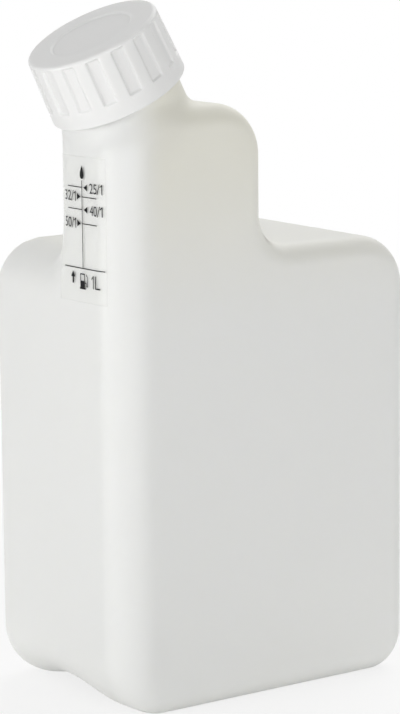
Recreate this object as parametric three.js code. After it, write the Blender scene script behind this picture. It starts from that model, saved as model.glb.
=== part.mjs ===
// Fuel mixing bottle: a one-litre blow-moulded bottle with a tall measuring column at one corner,
// a slanted threaded neck, a ribbed screw cap with a sealing disc, and a clear scale label.
// Millimetres, Z up. Bottle places are counted from the corner under the column: X runs along the
// large face, Y runs along the narrow face, Z runs up from the feet.

import * as THREE from 'three';
import { ParametricGeometry } from 'three/addons/geometries/ParametricGeometry.js';
import { mergeVertices } from 'three/addons/utils/BufferGeometryUtils.js';

// Bottle body
const bodyLength = 109;
const bodyDepth = 72.8;
const shoulderHeight = 140.7;
const wall = 1.3;
const nearCornerRadius = 11.2;
const backCornerRadius = 5.6;
const faceEdgeRadius = 7.1;
const shoulderRightRadius = 16.3;
const shoulderLeftRadius = 14.9;
const baseRightRadius = 12.4;
const baseLeftRadius = 17.5;
const narrowFaceCrown = 1.4;

// Channel that the mould's pinch-off leaves along the base
const channelDepth = 5.6;
const channelMiddle = 40.7;
const channelHalfWidth = 25.5;
const channelFade = 26;

// Measuring column, flush with the large and the narrow face
const columnLength = 53.7;
const columnDepth = 39.7;
const columnTop = shoulderHeight + 44.5;
const columnRightRadius = 15.9;
const columnLeftRadius = 16.3;
const columnBackLeftRadius = 16.3;
const columnBackRightRadius = 8;
const columnFilletRight = 10.2;
const columnFilletBack = 3.6;

// Slanted neck: its foot is the centre of the cap's lower rim. On the narrow face its blend into
// the column starts some way below the column's top.
const neckTilt = THREE.MathUtils.degToRad(27.35);
const neckFoot = new THREE.Vector3(13.4, columnDepth / 2, columnTop + 3.2);
const neckBlendDrop = 14.2;
const neckBaseRadius = 18.3;
const neckBaseDepth = 16;
const neckFillet = 3;
const neckRootRadius = 17.2;
const neckBoreRadius = 15.2;
const neckHeight = 16.8;
const neckStepDown = 0.9;
const lipRounding = 0.6;

// Screw cap
const capHeight = 20.7;
const capRadiusBottom = 21.3;
const capRadiusTop = 20.5;
const capEdgeRadius = 1.1;
const capBoreRadius = 18.9;
const capTopWall = 1.9;
const recessRadius = 13.2;
const recessDepth = 0.5;
const fluteCount = 16;
const fluteShare = 0.48;
const fluteDepth = 0.75;
const fluteFoot = 5.3;
const fluteHead = 0;
const fluteRamp = 0.4;
const firstFluteAngle = THREE.MathUtils.degToRad(-127.5);

// Sealing disc inside the cap
const linerRadius = 18.3;
const linerGap = 0.3;

// Clear scale label on the narrow face
const labelFront = 7.1;
const labelBack = 30.1;
const labelBottom = shoulderHeight - 13.6;
const labelTop = shoulderHeight + 30.4;
const labelGap = 0.3;
const labelThickness = 0.2;

const neckAxis = new THREE.Vector3(-Math.sin(neckTilt), 0, Math.cos(neckTilt));
const neckAcross = new THREE.Vector3(Math.cos(neckTilt), 0, Math.sin(neckTilt));
const neckSideways = new THREE.Vector3(0, 1, 0);

// Two distances joined: the common part or the union of two shapes, with a round edge or fillet.
function roundEdge(a, b, radius) {
  const corner = Math.hypot(Math.max(radius + a, 0), Math.max(radius + b, 0));
  return Math.min(-radius, Math.max(a, b)) + corner;
}

function roundFillet(a, b, radius) {
  const corner = Math.hypot(Math.max(radius - a, 0), Math.max(radius - b, 0));
  return Math.max(radius, Math.min(a, b)) - corner;
}

// Share of the first distance where it is the nearer wall, with a smooth change over a width.
function share(a, b, width) {
  return THREE.MathUtils.smoothstep(a - b, -width, width);
}

function mix(a, b, part) {
  return a + (b - a) * part;
}

// Distance from the bottle's outer skin, negative inside it. The outline of the large face comes
// first, as right wall, tops, left wall and base; the front and back faces then round it off.
function skinDistance(p) {
  const acrossDepth = (p.y - bodyDepth / 2) / (bodyDepth / 2);
  const crown = narrowFaceCrown * Math.max(0, 1 - acrossDepth * acrossDepth);
  const left = -p.x - crown;
  const shoulder = roundEdge(p.x - bodyLength, p.z - shoulderHeight, shoulderRightRadius);

  const columnX = p.x - columnLength;
  const columnY = p.y - columnDepth;
  const columnZ = p.z - columnTop;
  const columnFace = roundEdge(columnX, columnZ, columnRightRadius);
  const upright = share(columnX, columnZ, columnRightRadius);
  const column = roundEdge(columnFace, columnY, mix(faceEdgeRadius, columnBackRightRadius, upright));
  const onRight = share(columnX, columnY, columnBackRightRadius);
  const tops = roundFillet(shoulder, column, mix(columnFilletBack, columnFilletRight, onRight));

  const towardsTop = share(columnZ, columnY, columnLeftRadius);
  const columnLeftEdge = mix(columnBackLeftRadius, columnLeftRadius, towardsTop);
  const inColumn = THREE.MathUtils.smoothstep(p.z, shoulderHeight, shoulderHeight + columnFilletRight);
  const sides = roundEdge(left, tops, mix(shoulderLeftRadius, columnLeftEdge, inColumn));

  const fromMiddle = Math.min(1, Math.abs(p.y - channelMiddle) / channelHalfWidth);
  const fade = Math.max(0, 1 - Math.max(0, p.z) / channelFade);
  const lift = channelDepth * Math.cos(fromMiddle * Math.PI / 2) ** 2 * fade * fade;
  const baseRadius = p.x < bodyLength / 2 ? baseLeftRadius : baseRightRadius;
  const outline = roundEdge(sides, lift - p.z, baseRadius);

  const nearCorner = share(left, Math.max(-p.z, columnZ), columnLeftRadius);
  const front = roundEdge(outline, -p.y, mix(faceEdgeRadius, nearCornerRadius, nearCorner));
  const ends = Math.max(left, p.x - bodyLength);
  const backCorner = share(ends, Math.max(-p.z, p.z - shoulderHeight), shoulderLeftRadius);
  const body = roundEdge(front, p.y - bodyDepth, mix(faceEdgeRadius, backCornerRadius, backCorner));

  const fromFoot = p.clone().sub(neckFoot);
  const along = fromFoot.dot(neckAxis);
  const radial = fromFoot.addScaledVector(neckAxis, -along).length();
  const neck = roundEdge(radial - neckBaseRadius, -along - neckBaseDepth, neckFillet);
  return roundFillet(body, neck, neckFillet);
}

// Moves a point along the slope of the distance until it lies at the given level.
function settle(start, level) {
  const point = start.clone();
  const step = 0.01;
  for (let turn = 0; turn < 14; turn += 1) {
    const here = skinDistance(point) - level;
    const slope = new THREE.Vector3();
    for (const axis of ['x', 'y', 'z']) {
      const ahead = point.clone();
      const behind = point.clone();
      ahead[axis] += step;
      behind[axis] -= step;
      slope[axis] = (skinDistance(ahead) - skinDistance(behind)) / (2 * step);
    }
    point.addScaledVector(slope, -here / Math.max(slope.lengthSq(), 0.05));
  }
  return point;
}

// A run of even steps between two numbers, without its last one.
function steps(from, to, count) {
  return Array.from({ length: count }, (_, n) => mix(from, to, n / count));
}

// Closes a surface that runs through rings of points, from one end point to the other.
function closedSurface(rings) {
  const stacks = rings.length - 1;
  const slices = rings[0].length;
  const surface = new ParametricGeometry((u, v, target) => {
    const ring = rings[Math.round(v * stacks)];
    target.copy(ring[Math.round(u * slices) % slices]);
  }, slices, stacks);
  surface.deleteAttribute('normal');
  surface.deleteAttribute('uv');
  const merged = mergeVertices(surface);
  const corners = merged.getIndex().array;
  const kept = [];
  for (let n = 0; n < corners.length; n += 3) {
    const [a, b, c] = corners.slice(n, n + 3);
    if (a !== b && b !== c && c !== a) kept.push(a, b, c);
  }
  if (enclosedVolume(merged.getAttribute('position'), kept) < 0) kept.reverse();
  merged.setIndex(kept);
  merged.computeVertexNormals();
  return merged;
}

function enclosedVolume(places, corners) {
  const [a, b, c] = [new THREE.Vector3(), new THREE.Vector3(), new THREE.Vector3()];
  let volume = 0;
  for (let n = 0; n < corners.length; n += 3) {
    a.fromBufferAttribute(places, corners[n]);
    b.fromBufferAttribute(places, corners[n + 1]);
    c.fromBufferAttribute(places, corners[n + 2]);
    volume += a.dot(b.cross(c)) / 6;
  }
  return volume;
}

// A point on a circle around the neck's axis.
function neckPoint(angle, radius, height) {
  return neckFoot.clone()
    .addScaledVector(neckAxis, height)
    .addScaledVector(neckAcross, radius * Math.cos(angle))
    .addScaledVector(neckSideways, radius * Math.sin(angle));
}

// Height along the neck at which its side leaves the column, through the top or the narrow face.
function neckExit(angle) {
  const side = neckPoint(angle, neckBaseRadius, 0);
  const throughTop = (columnTop - side.z) / neckAxis.z;
  const throughFace = side.x / -neckAxis.x;
  return Math.min(throughTop, throughFace, -neckFillet);
}

// Stations around the bottle: each pairs a place on the body's plan with one on the column's plan.
// Where the column is flush with the body the two are the same.
function bottleStations() {
  const stations = [];
  const run = (bodyFrom, bodyTo, columnFrom, columnTo, count) => {
    for (const part of steps(0, 1, count)) {
      const body = new THREE.Vector2().lerpVectors(bodyFrom, bodyTo, part);
      const column = new THREE.Vector2().lerpVectors(columnFrom, columnTo, part);
      stations.push({ body, column });
    }
  };
  const at = (x, y) => new THREE.Vector2(x, y);
  const frontRight = columnLength - faceEdgeRadius;
  const right = columnLength;
  const back = columnDepth;
  const backPart = (back - columnBackRightRadius - faceEdgeRadius) / 3;
  const leftArc = (turn) => at(
    columnBackLeftRadius * (1 - Math.sin(turn * Math.PI / 2)),
    back - columnBackLeftRadius * (1 - Math.cos(turn * Math.PI / 2)),
  );
  const path = [
    [at(0, 0), at(0, 0), 3],
    [at(nearCornerRadius, 0), at(nearCornerRadius, 0), 3],
    [at(frontRight, 0), at(frontRight, 0), 2],
    [at(right, 0), at(right, 0), 3],
    [at(bodyLength - faceEdgeRadius, 0), at(right, faceEdgeRadius), 2],
    [at(bodyLength, 0), at(right, faceEdgeRadius + backPart), 2],
    [at(bodyLength, faceEdgeRadius), at(right, faceEdgeRadius + 2 * backPart), 3],
    [at(bodyLength, bodyDepth - backCornerRadius), at(right, back - columnBackRightRadius), 3],
    [at(bodyLength, bodyDepth), at(right, back), 3],
    [at(bodyLength - backCornerRadius, bodyDepth), at(right - columnBackRightRadius, back), 4],
    [at(backCornerRadius, bodyDepth), at(columnBackLeftRadius * 1.5, back), 3],
    [at(0, bodyDepth), at(columnBackLeftRadius * 1.2, back), 3],
    [at(0, bodyDepth - backCornerRadius), leftArc(0), 5],
    [at(0, back), leftArc(0.5), 5],
    [at(0, back - columnBackLeftRadius), leftArc(1), 3],
    [at(0, nearCornerRadius), at(0, nearCornerRadius), 3],
  ];
  path.forEach(([body, column, count], n) => {
    const [nextBody, nextColumn] = path[(n + 1) % path.length];
    run(body, nextBody, column, nextColumn, count);
  });
  const middle = new THREE.Vector2(neckFoot.x + columnLength / 6, neckFoot.y);
  for (const station of stations) {
    station.angle = Math.atan2(station.column.y - middle.y, station.column.x - middle.x);
  }
  return stations;
}

// One skin of the bottle from the middle of its base to the foot of its neck.
function bottleSkin(stations, level) {
  const spread = columnFilletRight + 2;
  const middle = new THREE.Vector2(bodyLength / 2, bodyDepth / 2);
  const shape = (place) => stations.map((station) => settle(place(station), level));
  const shoulderSpread = ({ body, column }) => {
    const width = body.distanceTo(column);
    return spread * (1 - THREE.MathUtils.smoothstep(width, 0, 2 * spread));
  };
  const topOf = ({ column }) => {
    const slope = neckBlendDrop / (columnLength / 2 + neckBaseRadius / 2);
    return Math.min(columnTop, columnTop - neckBlendDrop + column.x * slope);
  };
  const rings = [];
  for (const part of [0, 0.2, 0.4, 0.6, 0.75, 0.87]) {
    rings.push(shape(({ body }) => {
      const flat = new THREE.Vector2().lerpVectors(middle, body, part);
      return new THREE.Vector3(flat.x, flat.y, 0);
    }));
  }
  const sideRadius = Math.max(baseLeftRadius, baseRightRadius);
  const shoulderRadius = Math.max(shoulderLeftRadius, shoulderRightRadius);
  const wallMarks = [...steps(0, faceEdgeRadius, 2), ...steps(faceEdgeRadius, sideRadius, 3)];
  wallMarks.push(...steps(sideRadius, shoulderHeight - shoulderRadius, 3));
  wallMarks.push(...steps(shoulderHeight - shoulderRadius, shoulderHeight - faceEdgeRadius, 3));
  wallMarks.push(...steps(shoulderHeight - faceEdgeRadius, shoulderHeight, 2));
  for (const height of wallMarks) {
    rings.push(shape((station) => {
      const scale = (shoulderHeight - shoulderSpread(station)) / shoulderHeight;
      return new THREE.Vector3(station.body.x, station.body.y, height * scale);
    }));
  }
  for (const part of [0, 0.07, 0.15, 0.24, 0.34, 0.55, 0.75, 0.84, 0.92]) {
    rings.push(shape((station) => {
      const flat = new THREE.Vector2().lerpVectors(station.body, station.column, part);
      const height = shoulderHeight + shoulderSpread(station) * (2 * part - 1);
      return new THREE.Vector3(flat.x, flat.y, height);
    }));
  }
  for (const part of [0, 0.07, 0.14, 0.22, 0.38, 0.54, 0.7, 0.8, 0.9, 0.95]) {
    rings.push(shape((station) => {
      const start = shoulderHeight + shoulderSpread(station);
      const height = mix(start, topOf(station), part);
      return new THREE.Vector3(station.column.x, station.column.y, height);
    }));
  }
  for (const part of steps(0, 1, 5)) {
    rings.push(shape((station) => {
      const edge = new THREE.Vector3(station.column.x, station.column.y, topOf(station));
      return edge.lerp(neckPoint(station.angle, neckBaseRadius, neckExit(station.angle)), part);
    }));
  }
  for (const part of steps(0, 1, 4)) {
    rings.push(shape((station) => {
      const height = mix(neckExit(station.angle), -neckStepDown, part);
      return neckPoint(station.angle, neckBaseRadius + level, height);
    }));
  }
  rings[0] = rings[0].map(() => settle(new THREE.Vector3(middle.x, middle.y, 0), level));
  return rings;
}

function bottleGeometry() {
  const stations = bottleStations();
  const outer = bottleSkin(stations, 0);
  const inner = bottleSkin(stations, -wall).filter((ring, n) => n % 2 === 0);
  const profile = [
    [neckBaseRadius, -neckStepDown],
    [neckRootRadius, neckBaseRadius - neckRootRadius - neckStepDown],
    [neckRootRadius, neckHeight / 2],
    [neckRootRadius, neckHeight - lipRounding],
    [neckRootRadius - lipRounding, neckHeight],
    [neckBoreRadius + lipRounding, neckHeight],
    [neckBoreRadius, neckHeight - lipRounding],
    [neckBoreRadius, neckHeight / 2],
    [neckBoreRadius, neckBaseRadius - neckRootRadius - neckStepDown],
    [neckBaseRadius - wall, -neckStepDown],
  ];
  const neck = profile.map(([radius, height]) => (
    stations.map((station) => neckPoint(station.angle, radius, height))
  ));
  return closedSurface([...outer, ...neck, ...inner.reverse()]);
}

// The cap: a round shell whose outer wall steps in at the flutes.
function capGeometry() {
  const pitch = 2 * Math.PI / fluteCount;
  const half = pitch * fluteShare / 2;
  const ramp = fluteRamp / capRadiusBottom;
  const angles = [];
  for (let n = 0; n < fluteCount; n += 1) {
    const centre = firstFluteAngle + n * pitch;
    angles.push([centre - half, 0], [centre - half + ramp, 1], [centre, 1]);
    angles.push([centre + half - ramp, 1], [centre + half, 0], [centre + pitch / 2, 0]);
  }
  const ring = (radius, height, sunk = 0) => (
    angles.map(([angle, inFlute]) => neckPoint(angle, radius - sunk * inFlute, height))
  );
  const outside = (height) => mix(capRadiusBottom, capRadiusTop, height / capHeight);
  const head = capHeight - capEdgeRadius - fluteHead - fluteRamp;
  const ceiling = capHeight - capTopWall;
  const shoulder = capHeight - capEdgeRadius;
  const rings = [ring(0, capHeight - recessDepth), ring(recessRadius - recessDepth, capHeight - recessDepth)];
  rings.push(ring(recessRadius, capHeight));
  for (const turn of [90, 60, 30, 0]) {
    const angle = THREE.MathUtils.degToRad(turn);
    const radius = outside(shoulder) - capEdgeRadius * (1 - Math.cos(angle));
    rings.push(ring(radius, shoulder + capEdgeRadius * Math.sin(angle)));
  }
  rings.push(ring(outside(head + fluteRamp), head + fluteRamp), ring(outside(head), head, fluteDepth));
  rings.push(ring(outside(fluteFoot), fluteFoot, fluteDepth));
  rings.push(ring(outside(fluteFoot - fluteRamp), fluteFoot - fluteRamp), ring(capRadiusBottom, fluteRamp));
  rings.push(ring(capRadiusBottom - fluteRamp, 0), ring(capBoreRadius + fluteRamp, 0));
  rings.push(ring(capBoreRadius, fluteRamp), ring(capBoreRadius, ceiling), ring(0, ceiling));
  return closedSurface(rings);
}

// The disc fills the space between the neck's lip and the cap's ceiling, less a gap on each side.
function linerGeometry() {
  const foot = neckHeight + linerGap;
  const head = capHeight - capTopWall - linerGap;
  const profile = [[0, foot], [linerRadius, foot], [linerRadius, head], [0, head]];
  const outline = profile.map(([radius, height]) => new THREE.Vector2(radius, height));
  const disc = new THREE.LatheGeometry(outline, 48);
  disc.rotateX(Math.PI / 2);
  disc.applyQuaternion(new THREE.Quaternion().setFromUnitVectors(new THREE.Vector3(0, 0, 1), neckAxis));
  disc.translate(neckFoot.x, neckFoot.y, neckFoot.z);
  return disc;
}

// A thin sheet that follows the narrow face and the column's back corner.
function labelGeometry() {
  const middle = new THREE.Vector2((labelFront + labelBack) / 2, (labelBottom + labelTop) / 2);
  const outline = [
    ...steps(0, 1, 8).map((part) => new THREE.Vector2(mix(labelFront, labelBack, part), labelBottom)),
    ...steps(0, 1, 12).map((part) => new THREE.Vector2(labelBack, mix(labelBottom, labelTop, part))),
    ...steps(0, 1, 8).map((part) => new THREE.Vector2(mix(labelBack, labelFront, part), labelTop)),
    ...steps(0, 1, 12).map((part) => new THREE.Vector2(labelFront, mix(labelTop, labelBottom, part))),
  ];
  const sheet = (part, level) => outline.map((edge) => {
    const flat = new THREE.Vector2().lerpVectors(middle, edge, part);
    return settle(new THREE.Vector3(-1, flat.x, flat.y), level);
  });
  const parts = [0, 0.25, 0.5, 0.75, 1];
  const outside = parts.map((part) => sheet(part, labelGap + labelThickness));
  const inside = parts.map((part) => sheet(part, labelGap)).reverse();
  return closedSurface([...outside, ...inside]);
}

function piece(name, geometry, color, roughness, extra = {}) {
  const material = new THREE.MeshStandardMaterial({ color, roughness, metalness: 0, ...extra });
  const mesh = new THREE.Mesh(geometry, material);
  mesh.name = name;
  return mesh;
}

const bottle = new THREE.Group();
bottle.add(piece('bottle', bottleGeometry(), 0xdcdcd6, 0.42));
bottle.add(piece('cap', capGeometry(), 0xf2f2f2, 0.35));
bottle.add(piece('cap_liner', linerGeometry(), 0xe6e6e0, 0.7));
bottle.add(piece('label_film', labelGeometry(), 0xd8dad4, 0.25, { transparent: true, opacity: 0.6 }));

// The whole stands with the middle of its bounding box over the origin and its feet at zero.
const box = new THREE.Box3().setFromObject(bottle);
const centre = box.getCenter(new THREE.Vector3());
for (const mesh of bottle.children) {
  mesh.position.set(-centre.x, -centre.y, -box.min.z);
}

export default bottle;
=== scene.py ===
import bmesh
import bpy
import numpy as np
from mathutils import Matrix, Vector


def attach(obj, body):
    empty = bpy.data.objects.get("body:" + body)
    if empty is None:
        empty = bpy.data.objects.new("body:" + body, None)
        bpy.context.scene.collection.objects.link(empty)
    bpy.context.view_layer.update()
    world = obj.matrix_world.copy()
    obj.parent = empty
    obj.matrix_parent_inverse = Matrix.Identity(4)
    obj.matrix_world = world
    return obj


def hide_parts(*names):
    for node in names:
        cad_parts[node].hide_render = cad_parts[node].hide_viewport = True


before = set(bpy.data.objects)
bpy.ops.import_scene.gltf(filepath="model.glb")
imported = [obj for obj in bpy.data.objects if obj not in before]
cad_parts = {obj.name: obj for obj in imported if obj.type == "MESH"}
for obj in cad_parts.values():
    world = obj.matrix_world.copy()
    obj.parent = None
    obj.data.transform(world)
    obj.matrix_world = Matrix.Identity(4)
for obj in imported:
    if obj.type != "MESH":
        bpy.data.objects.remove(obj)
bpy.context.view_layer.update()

# Bottle: blow-moulded in one piece from natural, milky polyethylene, with a measuring column at one
# corner, a slanted threaded neck and a channel along the base where the mould pinched the tube off.
# Places are millimetres from the corner under the column; the row frame starts at ROW_CORNER.
ROW_CORNER = np.array([-47.5197, -35.6822, 0.0])
BODY = np.array([109.0, 72.8, 140.7])
COLUMN = np.array([53.7, 39.7, 185.2])
WALL = 1.3
FACE_EDGE, NEAR_CORNER, BACK_CORNER = 7.1, 11.2, 5.6
SHOULDER_RIGHT, SHOULDER_LEFT = 16.3, 14.9
BASE_RIGHT, BASE_LEFT = 12.4, 17.5
COLUMN_RIGHT, COLUMN_LEFT, COLUMN_BACK_RIGHT = 15.9, 16.3, 8.0
FOOT_RIGHT, FOOT_BACK = 10.2, 3.6
FOOT_REACH = FOOT_RIGHT + 2.0
NARROW_FACE_CROWN = 1.4
CHANNEL_DEPTH, CHANNEL_MIDDLE, CHANNEL_HALF_WIDTH, CHANNEL_FADE = 5.6, 40.7, 25.5, 26.0
NECK_TILT = np.radians(27.35)
NECK_FOOT = np.array([13.4, 19.85, 188.4])
NECK_BASE, NECK_BASE_DEPTH, NECK_FILLET = 18.3, 16.0, 3.0
NECK_ROOT, NECK_BORE, NECK_HEIGHT, NECK_STEP_DOWN = 17.2, 15.2, 16.8, 0.9
NECK_BLEND_DROP = 14.2
LIP, ROOT_CHAMFER = 0.6, 0.2
THREAD_PITCH, THREAD_HEIGHT, THREAD_HALF_SHARE, THREAD_FADE = 4.0, 1.1, 0.24, 1.5
THREAD_LOW, THREAD_HIGH, THREAD_ROWS = 3.0, NECK_HEIGHT - 2.5, 44
NECK_AXIS = np.array([-np.sin(NECK_TILT), 0, np.cos(NECK_TILT)])
NECK_ACROSS = np.array([np.cos(NECK_TILT), 0, np.sin(NECK_TILT)])
NECK_SIDEWAYS = np.array([0.0, 1.0, 0.0])
MILK, WARM_MILK = (0.80, 0.806, 0.77, 1), (0.785, 0.772, 0.665, 1)
# painted shade: the bottle's colour is multiplied by this on the edges between the tops and the
# front
PAINTED_EDGE_SHADE = (0.92, 0.917, 0.905, 1)
GRAIN_DEPTH, CLOUD_CELLS, CLOUD_SHARE = 0.0001, 14.0, 0.3
# in metres of the row frame, where the colour warms upwards and inland; the painted shade's range
WARM_UP, WARM_INLAND, PAINTED_SHADE_RANGE = (0.11, 0.18), (-0.044, -0.030), (-0.05, -0.48)
MERGE_WITHIN = 2e-6


def smooth_step(value, low, high):
    """Three times t squared less twice t cubed, with t the value's share of the way from low to
    high, held between 0 and 1."""
    t = np.clip((value - low) / (high - low), 0, 1)
    return t * t * (3 - 2 * t)


def mix(a, b, part):
    """a plus that part of the way to b."""
    return a + (b - a) * part


def share(a, b, width):
    """0 where a lies well under b, 1 where it lies well over it, smooth in between."""
    return smooth_step(a - b, -width, width)


def round_edge(a, b, radius):
    """Distance to what two solids have in common, its edge a quarter circle of that radius."""
    corner = np.hypot(np.maximum(radius + a, 0), np.maximum(radius + b, 0))
    return np.minimum(-radius, np.maximum(a, b)) + corner


def round_fillet(a, b, radius):
    """Distance to two solids joined, the inner corner between them filled to that radius."""
    corner = np.hypot(np.maximum(radius - a, 0), np.maximum(radius - b, 0))
    return np.maximum(radius, np.minimum(a, b)) - corner


def skin_distance(points):
    """Distance from the bottle's skin. The outline of the large face comes first, as walls, tops
    and base joined by round edges; the front and back faces round it off, and the neck is filled
    on."""
    x, y, z = points[..., 0], points[..., 1], points[..., 2]
    half_depth = BODY[1] / 2
    left = -x - NARROW_FACE_CROWN * np.maximum(0, 1 - ((y - half_depth) / half_depth) ** 2)
    shoulder = round_edge(x - BODY[0], z - BODY[2], SHOULDER_RIGHT)
    beside, behind, above = x - COLUMN[0], y - COLUMN[1], z - COLUMN[2]
    upright = share(beside, above, COLUMN_RIGHT)
    column_face = round_edge(beside, above, COLUMN_RIGHT)
    column = round_edge(column_face, behind, mix(FACE_EDGE, COLUMN_BACK_RIGHT, upright))
    on_right = share(beside, behind, COLUMN_BACK_RIGHT)
    tops = round_fillet(shoulder, column, mix(FOOT_BACK, FOOT_RIGHT, on_right))
    in_column = smooth_step(z, BODY[2], BODY[2] + FOOT_RIGHT)
    sides = round_edge(left, tops, mix(SHOULDER_LEFT, COLUMN_LEFT, in_column))
    from_middle = np.minimum(1, np.abs(y - CHANNEL_MIDDLE) / CHANNEL_HALF_WIDTH)
    fade = np.maximum(0, 1 - np.maximum(0, z) / CHANNEL_FADE)
    lift = CHANNEL_DEPTH * np.cos(from_middle * np.pi / 2) ** 2 * fade * fade
    outline = round_edge(sides, lift - z, np.where(x < BODY[0] / 2, BASE_LEFT, BASE_RIGHT))
    near = share(left, np.maximum(-z, above), COLUMN_LEFT)
    front = round_edge(outline, -y, mix(FACE_EDGE, NEAR_CORNER, near))
    ends = share(np.maximum(left, x - BODY[0]), np.maximum(-z, z - BODY[2]), SHOULDER_LEFT)
    body = round_edge(front, y - BODY[1], mix(FACE_EDGE, BACK_CORNER, ends))
    from_foot = points - NECK_FOOT
    along = from_foot @ NECK_AXIS
    radial = np.sqrt(np.maximum((from_foot ** 2).sum(-1) - along ** 2, 1e-9))
    neck = round_edge(radial - NECK_BASE, -along - NECK_BASE_DEPTH, NECK_FILLET)
    return round_fillet(body, neck, NECK_FILLET)


def settle(points, level):
    """Newton's steps along the distance's slope until the points lie at that level. The slope
    comes from a probe to either side, and a very flat one is held up so that no step runs off."""
    steps, probe, least_slope = 14, 0.01, 0.05
    points = np.array(points, float)
    for _ in range(steps):
        here = skin_distance(points) - level
        slope = np.stack([
            skin_distance(points + way) - skin_distance(points - way) for way in np.eye(3) * probe
        ], -1) / (2 * probe)
        points -= slope * (here / np.maximum((slope ** 2).sum(-1), least_slope))[..., None]
    return points


def neck_points(angle, radius, height):
    """Cylinder coordinates about the neck's axis, counted from the neck's foot."""
    ring = np.cos(angle)[..., None] * NECK_ACROSS + np.sin(angle)[..., None] * NECK_SIDEWAYS
    outward, along = (np.asarray(size)[..., None] for size in (radius, height))
    return NECK_FOOT + outward * ring + along * NECK_AXIS


def turned(profile, angle):
    """A profile of radii and heights turned round: its angles, radii and heights, a ring a row."""
    profile = np.asarray(profile, float)
    angles = np.broadcast_to(angle, (len(profile), len(angle)))
    return angles, *(np.repeat(profile[:, [k]], len(angle), axis=1) for k in (0, 1))


def thread_ridge(angle, height, low, high):
    """Height of a right-handed ridge: a round hump once a pitch along the axis, its place rising
    with the angle, fading out at both ends."""
    phase = (height / THREAD_PITCH - angle / (2 * np.pi)) % 1.0
    hump = np.clip(1 - np.abs(phase - 0.5) / THREAD_HALF_SHARE, 0, 1)
    starts = smooth_step(height, low, low + THREAD_FADE)
    stops = 1 - smooth_step(height, high - THREAD_FADE, high)
    return THREAD_HEIGHT * np.sin(hump * np.pi / 2) ** 0.8 * starts * stops


def walk(marks, counts):
    """Even steps from each mark to the next, the last one left out."""
    return np.concatenate([
        mix(a, b, np.linspace(0, 1, n, endpoint=False)[:, None])
        for a, b, n in zip(marks[:-1], marks[1:], counts)
    ])


# each row: place on the body's plan, its partner on the column's plan, steps to the next row
left_arc = [(COLUMN_LEFT * (1 - np.sin(t)), COLUMN[1] - COLUMN_LEFT * (1 - np.cos(t)))
            for t in (0.0, np.pi / 4, np.pi / 2)]
across_back = (COLUMN[1] - COLUMN_BACK_RIGHT - FACE_EDGE) / 3
plan = np.array([
    (0, 0, 0, 0, 14),
    (NEAR_CORNER, 0, NEAR_CORNER, 0, 12),
    (COLUMN[0] - FACE_EDGE, 0, COLUMN[0] - FACE_EDGE, 0, 10),
    (COLUMN[0], 0, COLUMN[0], 0, 14),
    (COLUMN[0] + FOOT_REACH, 0, COLUMN[0], 3, 12),
    (BODY[0] - FACE_EDGE, 0, COLUMN[0], FACE_EDGE, 12),
    (BODY[0], 0, COLUMN[0], FACE_EDGE + across_back, 12),
    (BODY[0], FACE_EDGE, COLUMN[0], FACE_EDGE + 2 * across_back, 12),
    (BODY[0], BODY[1] - BACK_CORNER, COLUMN[0], COLUMN[1] - COLUMN_BACK_RIGHT, 12),
    (BODY[0], BODY[1], COLUMN[0], COLUMN[1], 12),
    (BODY[0] - BACK_CORNER, BODY[1], COLUMN[0] - COLUMN_BACK_RIGHT, COLUMN[1], 16),
    (BACK_CORNER, BODY[1], COLUMN_LEFT * 1.5, COLUMN[1], 12),
    (0, BODY[1], COLUMN_LEFT * 1.2, COLUMN[1], 12),
    (0, BODY[1] - BACK_CORNER, *left_arc[0], 22),
    (0, COLUMN[1], *left_arc[1], 22),
    (0, COLUMN[1] - COLUMN_LEFT, *left_arc[2], 14),
    (0, NEAR_CORNER, 0, NEAR_CORNER, 14),
    (0, 0, 0, 0, 0),
], float)
stations = walk(plan[:, :4], plan[:-1, 4].astype(int))
body_plan, column_plan = stations[:, :2], stations[:, 2:]
turn_middle = NECK_FOOT[0] + COLUMN[0] / 6
neck_angle = np.arctan2(column_plan[:, 1] - NECK_FOOT[1], column_plan[:, 0] - turn_middle)


def raised(flat, height):
    """Plan places and heights put together, for whole rings at once."""
    shape = np.broadcast_shapes(flat.shape[:-1], np.shape(height))
    flat = np.broadcast_to(flat, (*shape, 2))
    return np.concatenate([flat, np.broadcast_to(height, shape)[..., None]], -1)


def as_rings(steps):
    """One step for each ring, as a column that goes against the row of stations."""
    return np.asarray(steps, float)[:, None]


def part_way(count):
    """Even parts from 0 towards 1, one for each ring, the last one left out."""
    return as_rings(np.linspace(0, 1, count, endpoint=False))


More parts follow.
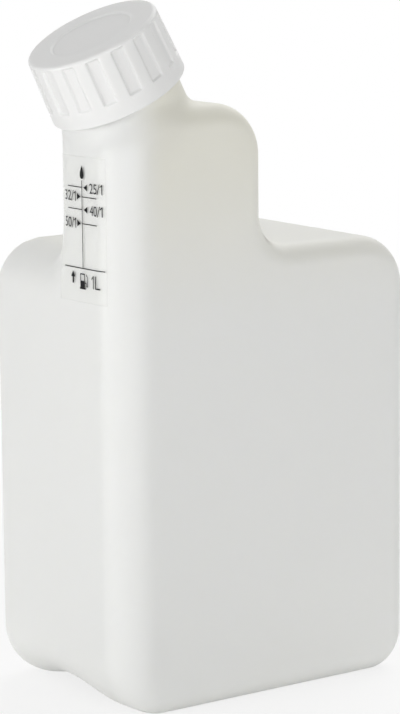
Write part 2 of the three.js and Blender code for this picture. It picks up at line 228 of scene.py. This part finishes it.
def bottle_rings(level):
    """Rings from the base's middle out, up the walls, over the shoulder to the column, up it and
    onto the neck. Each is a blend of two plan outlines at its own height, settled onto the skin.
    They lie closer together where the skin bends more."""
    apart = np.hypot(*(body_plan - column_plan).T)
    spread = FOOT_REACH * (1 - smooth_step(apart, 0, 2 * FOOT_REACH))
    slope = NECK_BLEND_DROP / (COLUMN[0] / 2 + NECK_BASE / 2)
    top = np.minimum(COLUMN[2], COLUMN[2] - NECK_BLEND_DROP + column_plan[:, 0] * slope)

    centre = np.array([BODY[0] / 2, CHANNEL_MIDDLE])
    outward = 1 - (1 - part_way(22)) ** 1.2
    base = raised(mix(centre, body_plan, outward[..., None]), 0.0)

    rounds = max(SHOULDER_LEFT, SHOULDER_RIGHT)
    heights = [0, FACE_EDGE, BASE_LEFT, BODY[2] - rounds, BODY[2] - FACE_EDGE, BODY[2]]
    wall_steps = walk(as_rings(heights), [7, 8, 12, 9, 6])
    walls = raised(body_plan, wall_steps * (BODY[2] - spread) / BODY[2])

    over = walk(as_rings([0, 0.34, 0.75, 1]), [16, 7, 12])
    over_plan = mix(body_plan, column_plan, over[..., None])
    shoulder = raised(over_plan, BODY[2] + spread * (2 * over - 1))

    up = walk(as_rings([0, 0.22, 0.7, 1]), [8, 8, 10])
    column = raised(column_plan, mix(BODY[2] + spread, top, up))

    # where each station's line on the neck comes out of the column's top or its narrow face
    foot = neck_points(neck_angle, NECK_BASE, 0)
    leaves = np.minimum((COLUMN[2] - foot[:, 2]) / NECK_AXIS[2], foot[:, 0] / -NECK_AXIS[0])
    leaves = np.minimum(leaves, -NECK_FILLET)
    neck_edge = neck_points(neck_angle, NECK_BASE, leaves)
    onto = mix(raised(column_plan, top), neck_edge, part_way(18)[..., None])
    height = mix(leaves, -NECK_STEP_DOWN, part_way(12))
    neck = neck_points(np.broadcast_to(neck_angle, height.shape), NECK_BASE + level, height)

    rings = settle(np.concatenate([base, walls, shoulder, column, onto, neck]), level)
    rings[0] = settle(np.array([*centre, 0.0]), level)
    return rings


def closed_faces(rows, columns):
    """Quads of a grid of rings, closed round each ring and open at the first and the last one."""
    row, column = np.meshgrid(np.arange(rows - 1), np.arange(columns), indexing="ij")
    here, beside = row * columns + column, row * columns + (column + 1) % columns
    return np.stack([here, beside, beside + columns, here + columns], -1).reshape(-1, 4)


def solid(name, points, faces, material):
    """A smooth mesh object from points in bottle millimetres; doubles are merged and faces turned
    outwards."""
    mesh = bpy.data.meshes.new(name)
    places = (points.reshape(-1, 3) + ROW_CORNER) / 1000
    mesh.from_pydata(places.tolist(), [], faces.tolist())
    shape = bmesh.new()
    shape.from_mesh(mesh)
    bmesh.ops.remove_doubles(shape, verts=shape.verts, dist=MERGE_WITHIN)
    bmesh.ops.recalc_face_normals(shape, faces=shape.faces)
    shape.to_mesh(mesh)
    shape.free()
    mesh.polygons.foreach_set("use_smooth", np.ones(len(mesh.polygons), bool))
    mesh.materials.append(material)
    made = bpy.data.objects.new(name, mesh)
    bpy.context.collection.objects.link(made)
    return made


class Wire:
    """An output of a material's node. Python's operators on it add Math nodes."""

    def __init__(self, tree, socket=None):
        self.tree, self.socket = tree, socket

    def node(self, kind, settings, sockets, out=0):
        """A node of that type: its settings first, then the values or links of its sockets."""
        made = self.tree.nodes.new(kind)
        for name, value in settings.items():
            setattr(made, name, value)
        for name, value in sockets.items():
            if isinstance(value, Wire):
                self.tree.links.new(value.socket, made.inputs[name])
            else:
                made.inputs[name].default_value = value
        return Wire(self.tree, made.outputs[out]) if made.outputs else None

    def math(self, operation, *values):
        """The Math node of that operation on the values."""
        return self.node("ShaderNodeMath", {"operation": operation}, dict(enumerate(values)))

    def eased(self, low, high, start=0.0, end=1.0):
        """From start to end as this output goes from low to high, smooth at both."""
        return self.node("ShaderNodeMapRange", {"interpolation_type": "SMOOTHSTEP"}, {
            0: self, 1: low, 2: high, 3: start, 4: end})

    def on_object(self):
        """The Object coordinates."""
        return self.node("ShaderNodeTexCoord", {}, {}, out=3)

    def part(self, axis):
        """The vector's part along the axis of that number."""
        return self.node("ShaderNodeSeparateXYZ", {}, {0: self}, out=axis)

    def __add__(self, other): return self.math("ADD", self, other)
    def __radd__(self, other): return self.math("ADD", other, self)
    def __sub__(self, other): return self.math("SUBTRACT", self, other)
    def __rsub__(self, other): return self.math("SUBTRACT", other, self)
    def __mul__(self, other): return self.math("MULTIPLY", self, other)
    def __rmul__(self, other): return self.math("MULTIPLY", other, self)


def new_material(name):
    """An empty material and the wire that adds nodes to it."""
    material = bpy.data.materials.new(name)
    material.use_nodes = True
    material.node_tree.nodes.clear()
    return material, Wire(material.node_tree)


def moulded_grain(wire, cells, strength):
    """The mould's fine grain of that many cells a metre, as a bump."""
    grain = wire.node("ShaderNodeTexNoise", {}, {
        "Vector": wire.on_object(), "Scale": cells, "Detail": 3.0})
    return wire.node("ShaderNodeBump", {}, {
        "Height": grain, "Strength": strength, "Distance": GRAIN_DEPTH})


def finish(wire, sockets):
    """The material's surface, one Principled node with those values and links."""
    body = wire.node("ShaderNodeBsdfPrincipled", {"subsurface_method": "RANDOM_WALK"}, sockets)
    wire.node("ShaderNodeOutputMaterial", {}, {"Surface": body})


def milky_plastic():
    """Natural polyethylene: light goes some way into it, and a fine grain from the mould stays on
    it. The colour warms up the column, away from the narrow face. Painted shade darkens it on the
    edges between the tops and the front, where the face's ways back and up, multiplied, are
    furthest under 0."""
    material, wire = new_material("milky_polyethylene")
    place = wire.on_object()
    cloud = wire.node("ShaderNodeTexNoise", {}, {
        "Vector": place, "Scale": CLOUD_CELLS, "Detail": 2.0})
    warmth = place.part(2).eased(*WARM_UP) * place.part(0).eased(*WARM_INLAND)
    facing = wire.node("ShaderNodeNewGeometry", {}, {}, out=1)
    # painted shade on the edges between the tops and the front, deepest where the face looks back
    # and up
    edge = (facing.part(1) * facing.part(2)).eased(*PAINTED_SHADE_RANGE)
    colour = wire.node("ShaderNodeMix", {"data_type": "RGBA"}, {
        0: warmth + (cloud - 0.5) * CLOUD_SHARE, 6: MILK, 7: WARM_MILK}, out=2)
    colour = wire.node("ShaderNodeMix", {"data_type": "RGBA", "blend_type": "MULTIPLY"}, {
        0: edge, 6: colour, 7: PAINTED_EDGE_SHADE}, out=2)
    finish(wire, {
        "Base Color": colour, "Roughness": 0.5, "Specular IOR Level": 0.3,
        "Normal": moulded_grain(wire, 900.0, 0.12), "Subsurface Weight": 0.5,
        "Subsurface Radius": (1.0, 1.0, 0.9), "Subsurface Scale": 0.006})
    return material


# the neck's own profile, from its base up the threaded root, over the lip and down the bore
root_foot = NECK_BASE - NECK_ROOT - NECK_STEP_DOWN
quarter = np.linspace(0, np.pi / 2, 5)
lip_cos, lip_sin = LIP * np.cos(quarter), LIP * np.sin(quarter)
neck_profile = [(NECK_BASE, -NECK_STEP_DOWN)]
neck_profile += [(NECK_ROOT + ROOT_CHAMFER, root_foot - ROOT_CHAMFER / 2)]
first_root = len(neck_profile)
neck_profile += [(NECK_ROOT, h) for h in np.linspace(root_foot, NECK_HEIGHT - LIP, THREAD_ROWS)]
neck_profile += [*zip(NECK_ROOT - LIP + lip_cos, NECK_HEIGHT - LIP + lip_sin)]
neck_profile += [*zip(NECK_BORE + LIP - lip_sin, NECK_HEIGHT - LIP + lip_cos)]
neck_profile += [(NECK_BORE, NECK_HEIGHT / 2), (NECK_BORE, root_foot + 1)]
neck_profile += [(NECK_BASE - WALL, -NECK_STEP_DOWN)]
angles, radius, height = turned(neck_profile, neck_angle)
on_root = slice(first_root, first_root + THREAD_ROWS)
radius[on_root] += thread_ridge(angles[on_root], height[on_root], THREAD_LOW, THREAD_HIGH)

# the inner skin needs only every second ring
outer, inner = bottle_rings(0.0), bottle_rings(-WALL)[::2]
grid = np.concatenate([outer, neck_points(angles, radius, height), inner[::-1]])
bottle = solid("blown_bottle", grid, closed_faces(*grid.shape[:2]), milky_plastic())
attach(bottle, "bottle")
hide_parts("bottle")

# Screw cap: white injection-moulded polypropylene, its skirt ribbed by sixteen sunk pockets that
# run out into the top edge, its top a shallow disc inside a low rim, and a thread inside.
CAP_HEIGHT, CAP_BOTTOM, CAP_TOP, CAP_EDGE, CAP_FOOT_EDGE = 20.7, 21.3, 20.5, 1.1, 0.5
CAP_BORE, CAP_TOP_WALL, BORE_EDGE = 18.9, 1.9, 0.4
CAP_THREAD_LOW, CAP_THREAD_HIGH, CAP_THREAD_ROWS = 1.5, 12.0, 44
POCKETS, POCKET_SHARE, POCKET_DEPTH, POCKET_FOOT = 16, 0.48, 0.75, 5.3
POCKET_SIDE_RAMP, POCKET_FOOT_RAMP = 0.38, 0.4
POCKET_HEAD_BELOW, POCKET_HEAD_ABOVE = 0.5, 0.15
FIRST_POCKET = np.radians(-127.5)
RECESS = 13.2
RECESS_WALL = [(-0.9, -0.5), (-0.65, -0.46), (-0.25, -0.08), (0, 0), (0.3, 0)]
WHITE_PLASTIC = (0.72, 0.72, 0.712, 1)


def cap_grid():
    """A profile turned about the neck's axis. The skirt's radius drops by the pocket depth where
    both the angle's place in its pitch and the height lie inside a pocket, with a ramp at each
    side. The angles are closer together on those ramps."""
    pitch = 2 * np.pi / POCKETS
    half, ramp = pitch * POCKET_SHARE / 2, POCKET_SIDE_RAMP / CAP_BOTTOM
    ramp_ends = [-half - ramp, -half + ramp, half - ramp, half + ramp, pitch - half - ramp]
    place = walk(as_rings(ramp_ends), [5, 5, 5, 6])[:, 0]
    angle = (FIRST_POCKET + np.arange(POCKETS)[:, None] * pitch + place).ravel()
    from_middle = np.abs(np.where(place > pitch / 2, place - pitch, place))
    inside = np.tile(1 - smooth_step(from_middle, half - ramp, half + ramp), POCKETS)

    shoulder, ceiling = CAP_HEIGHT - CAP_EDGE, CAP_HEIGHT - CAP_TOP_WALL
    at_shoulder = mix(CAP_BOTTOM, CAP_TOP, shoulder / CAP_HEIGHT)
    turn = np.linspace(0, np.pi / 2, 9)
    rim = [(RECESS + out, CAP_HEIGHT + up) for out, up in RECESS_WALL]
    top = [(0, rim[0][1]), (RECESS / 2, rim[0][1]), *rim]
    edge = [(at_shoulder - CAP_EDGE * (1 - np.cos(t)), shoulder + CAP_EDGE * np.sin(t))
            for t in turn[::-1]]
    foot_ramp = np.array([1.5, 1, -1]) * POCKET_FOOT_RAMP + POCKET_FOOT
    skirt = [(mix(CAP_BOTTOM, CAP_TOP, h / CAP_HEIGHT), h) for h in np.concatenate([
        np.linspace(shoulder - 0.05, shoulder - 0.75, 6),
        np.linspace(shoulder - 2, foot_ramp[0], 6),
        np.linspace(foot_ramp[1], foot_ramp[2], 7), [3.0, 0.8]])]
    low = [(CAP_BOTTOM - CAP_FOOT_EDGE * (1 - np.cos(t)), CAP_FOOT_EDGE * (1 - np.sin(t)))
           for t in turn]
    mouth = [(CAP_BORE + BORE_EDGE, 0), (CAP_BORE, BORE_EDGE)]
    bore = [(CAP_BORE, h) for h in np.linspace(1, ceiling - 3, CAP_THREAD_ROWS)]
    inner_top = [(CAP_BORE, ceiling - BORE_EDGE), (CAP_BORE - BORE_EDGE, ceiling)]
    inner_top += [(CAP_BORE / 2, ceiling), (0, ceiling)]
    angles, radius, height = turned(top + edge + skirt + low + mouth + bore + inner_top, angle)

    # the pockets begin in the top edge's lower half
    on_skirt = slice(len(top) + len(edge) - 5, len(top) + len(edge) + len(skirt))
    up = height[on_skirt]
    over_foot = smooth_step(up, POCKET_FOOT - POCKET_FOOT_RAMP, POCKET_FOOT + POCKET_FOOT_RAMP)
    over_head = smooth_step(up, shoulder - POCKET_HEAD_BELOW, shoulder + POCKET_HEAD_ABOVE)
    radius[on_skirt] -= POCKET_DEPTH * inside * over_foot * (1 - over_head)
    first_bore = on_skirt.stop + len(low) + len(mouth)
    in_bore = slice(first_bore, first_bore + len(bore))
    radius[in_bore] -= thread_ridge(
        angles[in_bore] + np.pi, height[in_bore], CAP_THREAD_LOW, CAP_THREAD_HIGH)
    return neck_points(angles, radius, height)


def cap_plastic():
    """Polypropylene with the satin skin of a polished mould."""
    material, wire = new_material("white_polypropylene")
    finish(wire, {
        "Base Color": WHITE_PLASTIC, "Roughness": 0.5, "Specular IOR Level": 0.3,
        "Normal": moulded_grain(wire, 700.0, 0.1), "Subsurface Weight": 0.3,
        "Subsurface Radius": (1.0, 1.0, 1.0), "Subsurface Scale": 0.002})
    return material


grid = cap_grid()
cap = solid("ribbed_cap", grid, closed_faces(*grid.shape[:2]), cap_plastic())
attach(cap, "cap")
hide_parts("cap")

# Sealing disc: a round of white foamed polyethylene with thin solid skins, cut from sheet and
# pressed into the cap. The neck's lip has left a shallow ring in its underside.
DISC_RADIUS, DISC_GAP, DISC_EDGE, DISC_STATIONS = 18.3, 0.3, 0.15, 128
PRESSED, PRESSED_RAMP = 0.12, 0.3
PRESSED_IN, PRESSED_OUT, PRESSED_END = NECK_BORE - 0.9, NECK_ROOT + 0.3, NECK_ROOT + 0.5
WHITE_FOAM = (0.84, 0.84, 0.82, 1)


def foam():
    """White foam whose cut edge shows fine cells as small dimples."""
    material, wire = new_material("white_foam")
    cells = wire.node("ShaderNodeTexVoronoi", {}, {"Vector": wire.on_object(), "Scale": 2200.0})
    bump = wire.node("ShaderNodeBump", {}, {
        "Height": cells, "Strength": 0.3, "Distance": GRAIN_DEPTH})
    finish(wire, {"Base Color": WHITE_FOAM, "Roughness": 0.7, "Normal": bump})
    return material


foot, head = NECK_HEIGHT + DISC_GAP, CAP_HEIGHT - CAP_TOP_WALL - DISC_GAP
disc_profile = [
    (0, foot), (PRESSED_IN - PRESSED_RAMP, foot), (PRESSED_IN, foot + PRESSED),
    (PRESSED_OUT, foot + PRESSED), (PRESSED_END, foot),
    (DISC_RADIUS - DISC_EDGE, foot), (DISC_RADIUS, foot + DISC_EDGE),
    (DISC_RADIUS, head - DISC_EDGE), (DISC_RADIUS - DISC_EDGE, head),
    (DISC_RADIUS / 2, head), (0, head)]
disc_angle = np.linspace(0, 2 * np.pi, DISC_STATIONS, endpoint=False)
grid = neck_points(*turned(disc_profile, disc_angle))
disc = solid("sealing_disc", grid, closed_faces(*grid.shape[:2]), foam())
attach(disc, "liner")
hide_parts("cap_liner")

# Scale label: a clear self-adhesive film on the narrow face, wrapped round the column's back
# corner. It is printed in black with the fuel mark at one litre and the oil marks of the mixing
# ratios.
LABEL_FRONT, LABEL_BACK, LABEL_BOTTOM, LABEL_TOP = 6.8, 29.8, 127.3, 171.0
LABEL_GAP, LABEL_THICKNESS, LABEL_STEPS = 0.3, 0.15, 30
CORNER_FROM, CORNER_TO, START_OUTSIDE = BODY[2] - 4, BODY[2] + 8, 0.5
SCALE_MIDDLE, LITRE_LEVEL, SCALE_TOP = 17.85, 137.6, 163.9
RATIOS = (("25", 161.8, True), ("32", 159.0, False), ("40", 155.2, True), ("50", 151.0, False))
LITRE_FRONT, LITRE_BACK = -10.4, 9.4
TICK, ARROW_TIP, ARROW_LENGTH, ARROW_HALF = 7.2, 0.8, 1.8, 1.0
UPRIGHT_WIDTH, LITRE_WIDTH, TICK_WIDTH, STEM_WIDTH, FLAG_WIDTH = 0.32, 0.3, 0.26, 0.4, 0.32
SLASH_RIGHT, SLASH_LEFT, SLASH_HALF, SLASH_WIDTH, FIGURES_RIGHT = 1.2, 2.2, 1.6, 0.28, 2.35
RATIO_RIGHT, RATIO_LEFT, FIGURES_WIDTH, FIGURES_HEIGHT = -9.7, 3.2, 3.5, 3.0
DROP_LEVEL, DROP_HALF_WIDTH, DROP_HALF_HEIGHT = 166.3, 1.3, 2.0
INK_GAP, STRIP_STEPS = 0.02, 12
PALE_FILM, INK = (0.9, 0.91, 0.88, 1), (0.006, 0.006, 0.007, 1)


def on_label(across, up, level):
    """Places on the label: the way across runs along the face and then round the corner's quarter
    circle, which is there only above the shoulder; all are settled at that level off the skin."""
    turn = np.maximum(0, across - (COLUMN[1] - COLUMN_LEFT)) / COLUMN_LEFT
    straight = np.minimum(across, COLUMN[1] - COLUMN_LEFT)
    arc_x, arc_y = COLUMN_LEFT * (1 - np.cos(turn)), straight + COLUMN_LEFT * np.sin(turn)
    over = smooth_step(up, CORNER_FROM, CORNER_TO)
    start = np.stack([mix(0, arc_x, over) - START_OUTSIDE, mix(across, arc_y, over), up], -1)
    return settle(start, level)


def clear_film():
    """Clear film that barely shows but for its shine."""
    material, wire = new_material("clear_film")
    finish(wire, {"Base Color": PALE_FILM, "Roughness": 0.3, "Alpha": 0.06, "IOR": 1.45})
    return material


def printing_ink():
    """Black ink, dull on the film."""
    material, wire = new_material("black_ink")
    finish(wire, {"Base Color": INK, "Roughness": 0.5, "Specular IOR Level": 0.1})
    return material


# the film's outer and inner sheet as two square grids, joined by a strip along their edges
step, sheet = np.arange(LABEL_STEPS), LABEL_STEPS ** 2
side = step / (LABEL_STEPS - 1)
across, up = np.meshgrid(
    mix(LABEL_FRONT, LABEL_BACK, side), mix(LABEL_BOTTOM, LABEL_TOP, side), indexing="ij")
film_points = np.stack([
    on_label(across, up, LABEL_GAP + LABEL_THICKNESS), on_label(across, up, LABEL_GAP)])
corner = (step[:-1, None] * LABEL_STEPS + step[:-1]).reshape(-1, 1)
face = corner + [0, LABEL_STEPS, LABEL_STEPS + 1, 1]
edge = np.concatenate([
    step * LABEL_STEPS, step[-1] * LABEL_STEPS + step[1:],
    step[-2::-1] * LABEL_STEPS + step[-1], step[-2:0:-1]])
after = np.roll(edge, -1)
rim = np.stack([edge, after, after + sheet, edge + sheet], -1)
film = solid("scale_film", film_points, np.concatenate([face, face[:, ::-1] + sheet, rim]),
             clear_film())
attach(film, "bottle")
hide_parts("label_film")

# the print's shapes, as flat places and faces, counted across from the scale's middle and up
marks = []


def add_strip(start, end, width):
    """A line as two edges, half its width to either side of its middle, in even steps along it."""
    start, end = np.array(start, float), np.array(end, float)
    way = (end - start) / np.hypot(*(end - start))
    aside = np.array([way[1], -way[0]]) * width / 2
    middle = mix(start, end, np.linspace(0, 1, STRIP_STEPS + 1)[:, None])
    quads = np.arange(STRIP_STEPS)[:, None] + [0, 1, STRIP_STEPS + 2, STRIP_STEPS + 1]
    marks.append((np.concatenate([middle + aside, middle - aside]), quads.tolist()))


def add_outline(places):
    """A flat shape filled between its corners, which all see its first one."""
    places = np.array(places, float)
    marks.append((places, [(0, n, n + 1) for n in range(1, len(places) - 1)]))


def add_words(text, right, middle, width, height):
    """Characters from the built-in face, drawn to a given width and height."""
    curve = bpy.data.curves.new(text, "FONT")
    curve.body = text
    written = bpy.data.objects.new(text, curve)
    bpy.context.collection.objects.link(written)
    bpy.context.view_layer.update()
    drawn = written.evaluated_get(bpy.context.evaluated_depsgraph_get())
    mesh = bpy.data.meshes.new_from_object(drawn)
    flat = np.empty(len(mesh.vertices) * 3)
    mesh.vertices.foreach_get("co", flat)
    flat = flat.reshape(-1, 3)[:, :2]
    low, high = flat.min(0), flat.max(0)
    part = (flat - low) / (high - low)
    across, up = right + width * (1 - part[:, 0]), middle + (part[:, 1] - 0.5) * height
    marks.append((np.stack([across, up], -1), [tuple(p.vertices) for p in mesh.polygons]))
    bpy.data.objects.remove(written)
    bpy.data.meshes.remove(mesh)


def add_one(right, middle, height):
    """The figure 1: a stem with a short flag."""
    stem = right + 0.2
    head = middle + height / 2
    add_strip((stem, middle - height / 2), (stem, head), STEM_WIDTH)
    add_strip((stem, head - 0.15), (stem + 0.9, middle + height * 0.22), FLAG_WIDTH)


add_strip((0, LITRE_LEVEL), (0, SCALE_TOP), UPRIGHT_WIDTH)
add_strip((LITRE_BACK, LITRE_LEVEL), (LITRE_FRONT, LITRE_LEVEL), LITRE_WIDTH)
for text, level, on_right in RATIOS:
    way = -1 if on_right else 1
    last = RATIO_RIGHT if on_right else RATIO_LEFT
    add_strip((0, level), (-way * TICK, level), TICK_WIDTH)
    tip, back = way * ARROW_TIP, way * (ARROW_TIP + ARROW_LENGTH)
    add_outline([(tip, level), (back, level + way * ARROW_HALF), (back, level - way * ARROW_HALF)])
    add_words(text, last + FIGURES_RIGHT, level, FIGURES_WIDTH, FIGURES_HEIGHT)
    slash = (last + SLASH_RIGHT, level + SLASH_HALF), (last + SLASH_LEFT, level - SLASH_HALF)
    add_strip(*slash, SLASH_WIDTH)
    add_one(last, level, FIGURES_HEIGHT)

# the drop of oil, the arrow up to the litre line and the pump's tank
drop = np.linspace(0, 2 * np.pi, 40, endpoint=False)
drop_out = DROP_HALF_WIDTH * np.sin(drop) * np.sin(drop / 2) ** 1.2
add_outline(np.stack([drop_out, DROP_LEVEL + DROP_HALF_HEIGHT * np.cos(drop)], -1))
add_outline([(5.2, 136.5), (6.3, 134.7), (4.1, 134.7)])
add_outline([(1.5, 131.8), (-0.8, 131.8), (-0.8, 133.9), (1.5, 133.9)])

# lines of one width each: the arrow's stem, the pump's foot, window and hose, and the letter L
hose = [(-0.8, 133.3), (-1.6, 133.2), (-1.65, 132.3), (-2.2, 132.3), (-2.3, 134.9), (-1.5, 135.9)]
lines = [
    (0.8, [(5.2, 134.8), (5.2, 132.8)]),
    (0.5, [(1.8, 131.6), (-1.2, 131.6)]),
    (0.35, [(1.35, 133.8), (1.35, 136.0)]),
    (0.35, [(-0.65, 133.8), (-0.65, 136.0)]),
    (0.35, [(1.5, 135.9), (-0.8, 135.9)]),
    (0.28, hose),
    (0.42, [(-6.2, 131.95), (-6.2, 135.85)]),
    (0.42, [(-6.1, 132.15), (-8.3, 132.15)]),
]
for width, line in lines:
    for start, end in zip(line[:-1], line[1:]):
        add_strip(start, end, width)
add_one(-5.3, 133.9, 3.9)

first = np.cumsum([0] + [len(places) for places, _ in marks]).tolist()
flat = np.concatenate([places for places, _ in marks])
faces = [[n + corner for corner in face] for n, (_, shape) in zip(first, marks) for face in shape]
ink_level = LABEL_GAP + LABEL_THICKNESS + INK_GAP
ink_places = on_label(SCALE_MIDDLE + flat[:, 0], flat[:, 1], ink_level)
ink_mesh = bpy.data.meshes.new("scale_print")
ink_mesh.from_pydata(((ink_places + ROW_CORNER) / 1000).tolist(), [], faces)
ink_mesh.materials.append(printing_ink())
ink = bpy.data.objects.new("scale_print", ink_mesh)
bpy.context.collection.objects.link(ink)
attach(ink, "bottle")

# Studio: a pale floor and an even white room, low soft lamps in front of the large face and beside
# the narrow one, a high one behind on the right, and the camera where the photograph was taken.
# Lamps and floor are in metres, the camera's place in millimetres from the bottle's corner.
AIM = Vector((0, 0, 0.1))
ROOM_LIGHT, ROOM_SHOWN = 0.36, 1.0
FLOOR_HALF, FLOOR_PAINT = 20, (0.9, 0.9, 0.9, 1)
GLOW_FROM, GLOW_TO, GLOW_LEAST = 0.12, 0.45, 0.78
CAMERA_TURN, CAMERA_LIFT, CAMERA_ROLL = np.radians([35.15, 10.12, -0.51])
CAMERA_RIGHT, CAMERA_UP, CAMERA_AWAY = 22.02, 111.48, 856.1
FOCAL_PIXELS, PHOTO_PIXELS, SENSOR = 2846.6, 714, 36
WHITE = (1, 1, 1, 1)


def lamp(name, place, size, power):
    """A soft lamp of that width and height, aimed at the bottle's middle."""
    light = bpy.data.lights.new(name, "AREA")
    light.shape = "RECTANGLE"
    light.size, light.size_y = size
    light.energy = power
    made = bpy.data.objects.new(name, light)
    made.location = place
    made.rotation_euler = (Vector(place) - AIM).to_track_quat("Z", "Y").to_euler()
    bpy.context.collection.objects.link(made)


def seen(wire):
    """1 for rays from the camera, and for those that gloss or clear plastic send on."""
    camera, gloss, clear = (wire.node("ShaderNodeLightPath", {}, {}, out=n) for n in (0, 3, 6))
    return wire.math("MAXIMUM", wire.math("MAXIMUM", camera, gloss), clear)


lamp("front_softbox", (-0.42, -1.47, 0.16), (1.0, 0.3), 10.4)
lamp("side_softbox", (-1.5, 0.17, 0.18), (1.0, 0.34), 11.0)
lamp("rear_softbox", (0.9, 0.6, 1.25), (1.2, 1.2), 14.0)

world = bpy.data.worlds.new("white_room")
world.use_nodes = True
world.node_tree.nodes.clear()
room = Wire(world.node_tree)
lit, shown = (room.node("ShaderNodeBackground", {}, {"Color": WHITE, "Strength": strength})
              for strength in (ROOM_LIGHT, ROOM_SHOWN))
walls = room.node("ShaderNodeMixShader", {}, {0: seen(room), 1: lit, 2: shown})
room.node("ShaderNodeOutputWorld", {}, {"Surface": walls})
bpy.context.scene.world = world

floor_material, wire = new_material("pale_floor")
away = wire.node("ShaderNodeVectorMath", {"operation": "LENGTH"}, {0: wire.on_object()}, out=1)
paint = wire.node("ShaderNodeBsdfDiffuse", {}, {"Color": FLOOR_PAINT})
glow = wire.node("ShaderNodeEmission", {}, {"Color": WHITE, "Strength": 1.0})
glow_part = seen(wire) * away.eased(GLOW_FROM, GLOW_TO, GLOW_LEAST, 1.0)
mixed = wire.node("ShaderNodeMixShader", {}, {0: glow_part, 1: paint, 2: glow})
wire.node("ShaderNodeOutputMaterial", {}, {"Surface": mixed})
floor_mesh = bpy.data.meshes.new("floor")
floor_mesh.from_pydata([
    (-FLOOR_HALF, -FLOOR_HALF, 0), (FLOOR_HALF, -FLOOR_HALF, 0),
    (FLOOR_HALF, FLOOR_HALF, 0), (-FLOOR_HALF, FLOOR_HALF, 0)], [], [(0, 1, 2, 3)])
floor_mesh.materials.append(floor_material)
floor = bpy.data.objects.new("floor", floor_mesh)
bpy.context.collection.objects.link(floor)

towards = np.array([
    -np.sin(CAMERA_TURN) * np.cos(CAMERA_LIFT), -np.cos(CAMERA_TURN) * np.cos(CAMERA_LIFT),
    np.sin(CAMERA_LIFT)])
level_right = np.array([np.cos(CAMERA_TURN), -np.sin(CAMERA_TURN), 0.0])
level_up = np.cross(towards, level_right)
right = np.cos(CAMERA_ROLL) * level_right + np.sin(CAMERA_ROLL) * level_up
up = np.cos(CAMERA_ROLL) * level_up - np.sin(CAMERA_ROLL) * level_right
eye = (CAMERA_RIGHT * right + CAMERA_UP * up + CAMERA_AWAY * towards + ROW_CORNER) / 1000
camera = bpy.data.objects.new("camera", bpy.data.cameras.new("camera"))
camera.data.lens = FOCAL_PIXELS / PHOTO_PIXELS * SENSOR
camera.data.clip_end = 100
camera_axes = np.column_stack([right, up, towards, eye])
camera.matrix_world = Matrix(np.vstack([camera_axes, [0, 0, 0, 1]]).tolist())
bpy.context.collection.objects.link(camera)
bpy.context.scene.camera = camera
bpy.context.scene.view_settings.view_transform = "Standard"
